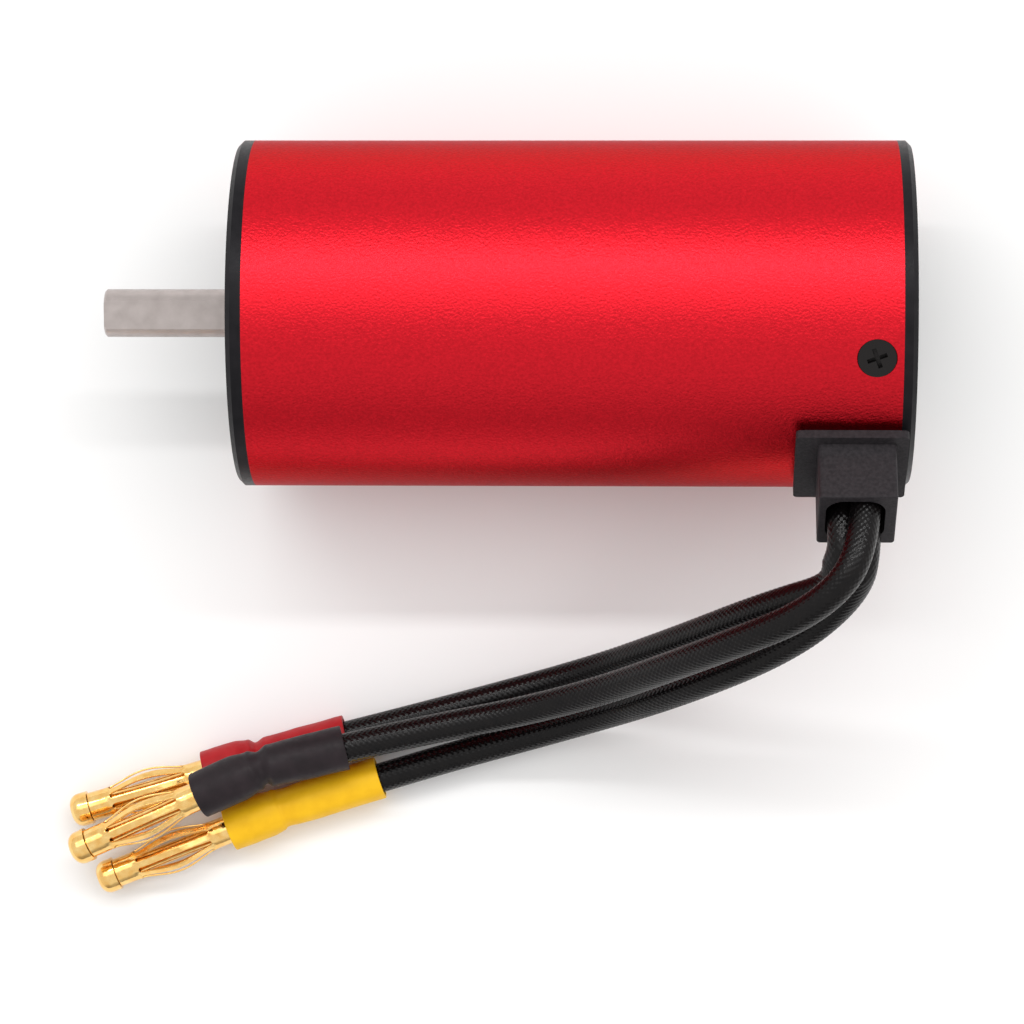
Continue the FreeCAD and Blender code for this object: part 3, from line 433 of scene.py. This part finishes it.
LOOKS = {
    "red_anodised": red_anodised(),
    "black_anodised": black_anodised(),
    "black_moulded": moulded_black(),
    "black_steel": black_steel(),
    "ground_steel": ground_steel(),
    "bearing_steel": plain_metal("bearing_steel", (0.62, 0.62, 0.63), 0.2),
    "spring_steel": plain_metal("spring_steel", (0.42, 0.42, 0.44), 0.32),
    "magnet": plain_metal("nickel", (0.6, 0.59, 0.56), 0.25),
    "ring_brass": plain_metal("ring_brass", (0.78, 0.58, 0.27), 0.25),
    "aluminium": plain_metal("aluminium", (0.75, 0.75, 0.76), 0.3),
    "electrical_steel": laminated_steel(),
    "copper": enamelled_copper(),
    "white_plastic": moulded_white(),
    "gold": gold_plate(),
    "braid": braid_look(),
    "shrink_red": heat_shrink("shrink_red", (0.33, 0.008, 0.012), (0.42, 0.012, 0.016), 0.42),
    "shrink_black": heat_shrink("shrink_black", (0.013, 0.009, 0.011), (0.021, 0.014, 0.017), 0.5),
    "shrink_yellow": heat_shrink("shrink_yellow", (0.84, 0.46, 0.008), (0.92, 0.53, 0.012), 0.45),
}

# ---------------------------------------------------------------- carried-over CAD pieces

BLOCK_EDGE = 0.18 * MM  # rounds the edges of the cable block


def dress_cad_nodes():
    """Each CAD piece takes the material of its slot in the record."""
    for part in frame["record"]["subparts"]:
        piece = nodes[part["node"]]
        piece.data.materials.clear()
        piece.data.materials.append(LOOKS[part["material_slot"]])
    moulded_edges = nodes["cable_grommet"].modifiers.new("moulded_edges", "BEVEL")
    moulded_edges.width = BLOCK_EDGE
    moulded_edges.segments = 3
    moulded_edges.angle_limit = math.radians(40)


dress_cad_nodes()

# ---------------------------------------------------------------- braided leads

STRANDS = 16  # in each direction round a lead
THREADS = 4  # in each strand
WEAVE_DEPTH = 0.07 * MM
AROUND = 96  # corners of each ring of the mesh
RING_STEP = 0.105 * MM
# The braid of the red lead bunches up on the inside of its sharp bend by the cable block.
PUCKER = Vector((-0.0608, 0.0256, 0.0127))
PUCKER_HEIGHT = 0.7 * MM
PUCKER_REACH = 1.2 * MM


def strand_height(turn, along, girth):
    """How high the braid stands at a place, from 0 between strands to 1 on top of one.

    turn is the angle round the lead in turns, along the distance down it in metres. Strands run at 45
    degrees both ways and pass over and under each other at every crossing.
    """
    one = turn * STRANDS - along / girth * STRANDS
    other = turn * STRANDS + along / girth * STRANDS
    here, there = round(one), round(other)
    across, down = one - here, other - there
    if (here + there) % 2:
        across, down = down, across
    return (1.0 - (2.0 * across) ** 4) * math.sqrt(max(0.0, math.cos(math.pi * down)))


def braided_lead(colour):
    """A lead's braid as one tube whose surface carries the crossing strands."""
    line = spline_line(f"route_{colour}", lead_route(colour))
    length = line_length(line)
    rings = int(length / RING_STEP)
    radius = LEAD_DIAMETER / 2
    girth = math.pi * LEAD_DIAMETER
    rows, places = [], []
    for r, (centre, side, over) in enumerate(frames_along(even_points(line, rings))):
        along = length * r / (rings - 1)
        row = []
        for c in range(AROUND):
            turn = c / AROUND
            out = side * math.cos(2 * math.pi * turn) + over * math.sin(2 * math.pi * turn)
            height = strand_height(turn, along, girth)
            skin = centre + out * (radius - WEAVE_DEPTH * (1.0 - height))
            bunched = PUCKER_HEIGHT * math.exp(-(((skin - PUCKER).length / PUCKER_REACH) ** 2))
            row.append(skin + out * bunched if colour == "red" else skin)
            places.append((turn, along / girth))
        rows.append(row)
    points, faces = ring_mesh(rows, capped=True)
    lead = add_piece(f"braid_{colour}", points, faces, LOOKS["braid"], "housing")
    lay_weave(lead.data, places)
    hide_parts(f"lead_{colour}")
    return lead, line, length


def lay_weave(mesh, places):
    """A map of each corner's place round and along the braid, for the strands' own threads."""
    weave = mesh.uv_layers.new(name="weave")
    for face in mesh.polygons:
        for corner in face.loop_indices:
            turn, along = places[mesh.loops[corner].vertex_index]
            weave.data[corner].uv = (turn * 2 * math.pi * STRANDS * THREADS, along)


# ---------------------------------------------------------------- heat-shrink sleeves

# Outer radius of each sleeve in mm at stations from its mouth (0) over its waist (1) to the plug (2).
SLEEVE_SHAPES = {
    "red": [(0.0, 2.3), (0.5, 2.2), (0.9, 2.05), (1.0, 1.7), (1.12, 2.2), (1.38, 2.5), (2.0, 2.45)],
    "black": [(0.0, 2.42), (0.5, 2.38), (0.9, 2.25), (1.0, 1.78), (1.12, 2.2), (1.4, 2.52), (2.0, 2.52)],
    "yellow": [(0.0, 2.3), (0.7, 2.25), (0.98, 2.1), (1.07, 2.32), (1.3, 2.5), (2.0, 2.42)],
}
SLEEVE_WALL = 0.4 * MM
SLEEVE_RINGS = 150
SLEEVE_ROUND = 72
WAIST_BEND = 1.2 * MM  # how far from the waist a sleeve's line starts to turn
LIP = 0.12 * MM  # rounds the edges of its two ends
# A sleeve is uneven by slow swells all along it and by creases where the shrinking drew its waist in.
# Heights are in mm, rates in swells or creases to the mm, and reach in stations.
SWELL_HEIGHT = 0.05
SWELL_RATE = 0.45
CREASE_HEIGHT = 0.16
CREASE_RATE = 0.8
CREASE_REACH = 0.16


def smooth_through(stations, at):
    """The value at a place between stations, easing in and out of each."""
    for (start, low), (end, high) in zip(stations, stations[1:]):
        if at <= end:
            share = (at - start) / (end - start)
            eased = share * share * (3 - 2 * share)
            return low + (high - low) * eased
    return stations[-1][1]


def sleeve_line(colour):
    mouth, waist, plug, out, back = lead_end(colour)
    before, after = waist + back * WAIST_BEND, waist + out * WAIST_BEND
    points = [mouth, waist + back * WAIST_BEND * 2, before, waist, after, plug]
    return spline_line(f"sleeve_{colour}", points)


def sleeve_station(colour, point):
    """Where a point of a sleeve's line lies: 0 at its mouth, 1 at its waist, 2 at the plug."""
    mouth, waist, plug, out, back = lead_end(colour)
    down = (point - waist).dot(out)
    if down > 0:
        return 1.0 + down / (plug - waist).length
    return 1.0 - (point - waist).dot(back) / (mouth - waist).length


def shrink_sleeve(colour):
    """A shrunk tube with a wall, drawn in at its waist and a little uneven."""
    line = even_points(sleeve_line(colour), SLEEVE_RINGS)
    shape = SLEEVE_SHAPES[colour]
    outer, inner = [], []
    for centre, side, over in frames_along(line):
        station = sleeve_station(colour, centre)
        radius = smooth_through(shape, station) * MM
        pinch = math.exp(-(((station - 1.0) / CREASE_REACH) ** 2))
        ring, bore = [], []
        for c in range(SLEEVE_ROUND):
            angle = 2 * math.pi * c / SLEEVE_ROUND
            out = side * math.cos(angle) + over * math.sin(angle)
            here = (centre + out * radius) / MM
            swell = SWELL_HEIGHT * noise.noise(here * SWELL_RATE)
            crease = CREASE_HEIGHT * pinch * noise.noise(here * CREASE_RATE)
            ring.append(centre + out * (radius + (swell + crease) * MM))
            bore.append(centre + out * (radius - SLEEVE_WALL))
        outer.append(ring)
        inner.append(bore)
    points, faces = ring_mesh(outer + inner[::-1], closed_rows=True)
    sleeve = add_piece(
        f"heat_shrink_{colour}", points, faces, LOOKS[f"shrink_{colour}"], "housing"
    )
    lips = sleeve.modifiers.new("lips", "BEVEL")
    lips.width = LIP
    lips.segments = 3
    lips.angle_limit = math.radians(50)
    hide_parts(f"shrink_{colour}")
    return sleeve


# ---------------------------------------------------------------- plug springs

SLATS = 8
COLLAR_LENGTH = 2.1 * MM
SLAT_LENGTH = 8.5 * MM
FRONT_COLLAR = 2.45 * MM
COLLAR_RADIUS = 1.55 * MM
BULGE_RADIUS = 2.35 * MM
SPRING_WALL = 0.2 * MM
SPRING_EDGE = 0.03 * MM  # rounds the edges of the slats
BULGE_POWER = 1.4  # over 1 makes the bulge gather towards its middle
SLOT_SHARE = 0.55  # of a slat's pitch, at the ends of the slots
BULGE_SLOT = 0.09  # more of it at the bulge
SLOT_ROUND = 0.5 * MM  # the rounded end of a slot
COLLAR_EASE = 0.7 * MM  # over which a flat slat turns into the round collar
COLUMNS = 110  # even spaces along the mesh of a spring
END_COLUMNS = 8  # more places in the round of each slot end
ACROSS = 6  # faces across a slat


def ease(value):
    value = min(1.0, max(0.0, value))
    return value * value * (3 - 2 * value)


def slat_state(x):
    """The radius of the spring at a distance along it, how wide its slats are and how flat."""
    share = (x - COLLAR_LENGTH) / SLAT_LENGTH
    if not 0 < share < 1:
        from_slot = min(abs(x - COLLAR_LENGTH), abs(x - COLLAR_LENGTH - SLAT_LENGTH))
        return COLLAR_RADIUS, 1.0, 1.0 - ease(from_slot / COLLAR_EASE)
    swell = math.sin(math.pi * share) ** BULGE_POWER
    edge = min(share, 1 - share) * SLAT_LENGTH
    open_slot = math.sqrt(max(0.0, 1 - (1 - min(1.0, edge / SLOT_ROUND)) ** 2))
    narrow = 1.0 - (SLOT_SHARE + BULGE_SLOT * swell) * open_slot
    return COLLAR_RADIUS + (BULGE_RADIUS - COLLAR_RADIUS) * swell, narrow, 1.0


def spring_columns():
    """The distances along a spring where its mesh has edges, closer together at the slot ends."""
    total = COLLAR_LENGTH + SLAT_LENGTH + FRONT_COLLAR
    marks = {0.0, total}
    for k in range(1, COLUMNS):
        marks.add(total * k / COLUMNS)
    for slot_end, way in ((COLLAR_LENGTH, 1), (COLLAR_LENGTH + SLAT_LENGTH, -1)):
        for k in range(END_COLUMNS):
            marks.add(slot_end + way * (k / END_COLUMNS) ** 2 * SLOT_ROUND)
    return sorted(marks)


def plug_spring(colour):
    """A gilded lantern spring: flat bowed slats between two rolled collars."""
    _, _, plug, out, _ = lead_end(colour)
    turn = out.to_track_quat("X", "Z")
    columns = spring_columns()
    points, faces = [], []
    for k in range(SLATS):
        middle = 2 * math.pi * k / SLATS
        first = len(points)
        for x in columns:
            radius, width, flat = slat_state(x)
            for a in range(ACROSS + 1):
                lean = (2 * a / ACROSS - 1) * width * math.pi / SLATS
                reach = radius * (1 + flat * (1 / math.cos(lean) - 1))
                angle = middle + lean
                place = Vector((x, reach * math.cos(angle), reach * math.sin(angle)))
                points.append(plug + turn @ place)
        for r in range(len(columns) - 1):
            for a in range(ACROSS):
                here = first + r * (ACROSS + 1) + a
                faces.append((here, here + 1, here + ACROSS + 2, here + ACROSS + 1))
    spring = add_piece(f"lantern_spring_{colour}", points, faces, LOOKS["gold"], "housing")
    weld = spring.modifiers.new("weld", "WELD")
    weld.merge_threshold = 0.002 * MM
    wall = spring.modifiers.new("wall", "SOLIDIFY")
    wall.thickness = SPRING_WALL
    wall.offset = -1
    edges = spring.modifiers.new("edges", "BEVEL")
    edges.width = SPRING_EDGE
    edges.segments = 2
    edges.angle_limit = math.radians(45)
    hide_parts(f"plug_spring_{colour}")
    return spring


def dress_lead(colour):
    """One whole lead: braid, sleeve and plug."""
    lead, line, length = braided_lead(colour)
    sleeve = shrink_sleeve(colour)
    spring = plug_spring(colour)


for colour in LEADS:
    dress_lead(colour)

# ---------------------------------------------------------------- stage and light

FLOOR_REACH = 3.0
FADE_START, FADE_END = 0.8, 1.0  # the Y part of the directions over which the surround darkens
LIT = (-0.035, 0.02, 0.0)  # what the lights face


def add_floor():
    """A wide pale floor under the motor."""
    turns = ((-1, -1), (1, -1), (1, 1), (-1, 1))
    corners = [(x * FLOOR_REACH, y * FLOOR_REACH, FLOOR) for x, y in turns]
    mesh = bpy.data.meshes.new("floor")
    mesh.from_pydata(corners, [], [(0, 1, 2, 3)])
    look, _ = new_look("floor", Base_Color=(0.9, 0.9, 0.9, 1.0), Roughness=0.9)
    mesh.materials.append(look)
    floor = bpy.data.objects.new("floor", mesh)
    bpy.context.collection.objects.link(floor)


def softbox(name, place, wide, long, power):
    """A rectangular area light, its sides in metres and its power in watts, that faces the motor."""
    data = bpy.data.lights.new(name, "AREA")
    data.shape = "RECTANGLE"
    data.size = wide
    data.size_y = long
    data.energy = power
    light = bpy.data.objects.new(name, data)
    bpy.context.collection.objects.link(light)
    light.location = place
    light.rotation_mode = "QUATERNION"
    light.rotation_quaternion = (Vector(LIT) - Vector(place)).to_track_quat("-Z", "Y")


def add_world(strength, far_strength):
    """An even pale surround that grows darker low down on the +Y side."""
    world = bpy.data.worlds.new("studio")
    world.use_nodes = True
    tree = world.node_tree
    background = tree.nodes["Background"]
    background.inputs["Color"].default_value = (1.0, 0.99, 0.98, 1.0)
    direction = tree.nodes.new("ShaderNodeTexCoord")
    split = tree.nodes.new("ShaderNodeSeparateXYZ")
    fade = tree.nodes.new("ShaderNodeMapRange")
    fade.inputs["From Min"].default_value = FADE_START
    fade.inputs["From Max"].default_value = FADE_END
    fade.inputs["To Min"].default_value = strength
    fade.inputs["To Max"].default_value = far_strength
    tree.links.new(direction.outputs["Generated"], split.inputs["Vector"])
    tree.links.new(split.outputs["Y"], fade.inputs["Value"])
    tree.links.new(fade.outputs["Result"], background.inputs["Strength"])
    bpy.context.scene.world = world


def light_scene():
    """The pale surround, a large soft panel overhead and a narrow bright tube lower down beside it."""
    add_world(strength=0.9, far_strength=0.3)
    softbox("panel", place=(-0.035, -0.29, 0.85), wide=1.6, long=0.62, power=2.6)
    softbox("tube", place=(-0.035, -0.457, 0.763), wide=1.2, long=0.05, power=2.9)
    bpy.context.scene.view_settings.view_transform = "Standard"


add_floor()
light_scene()
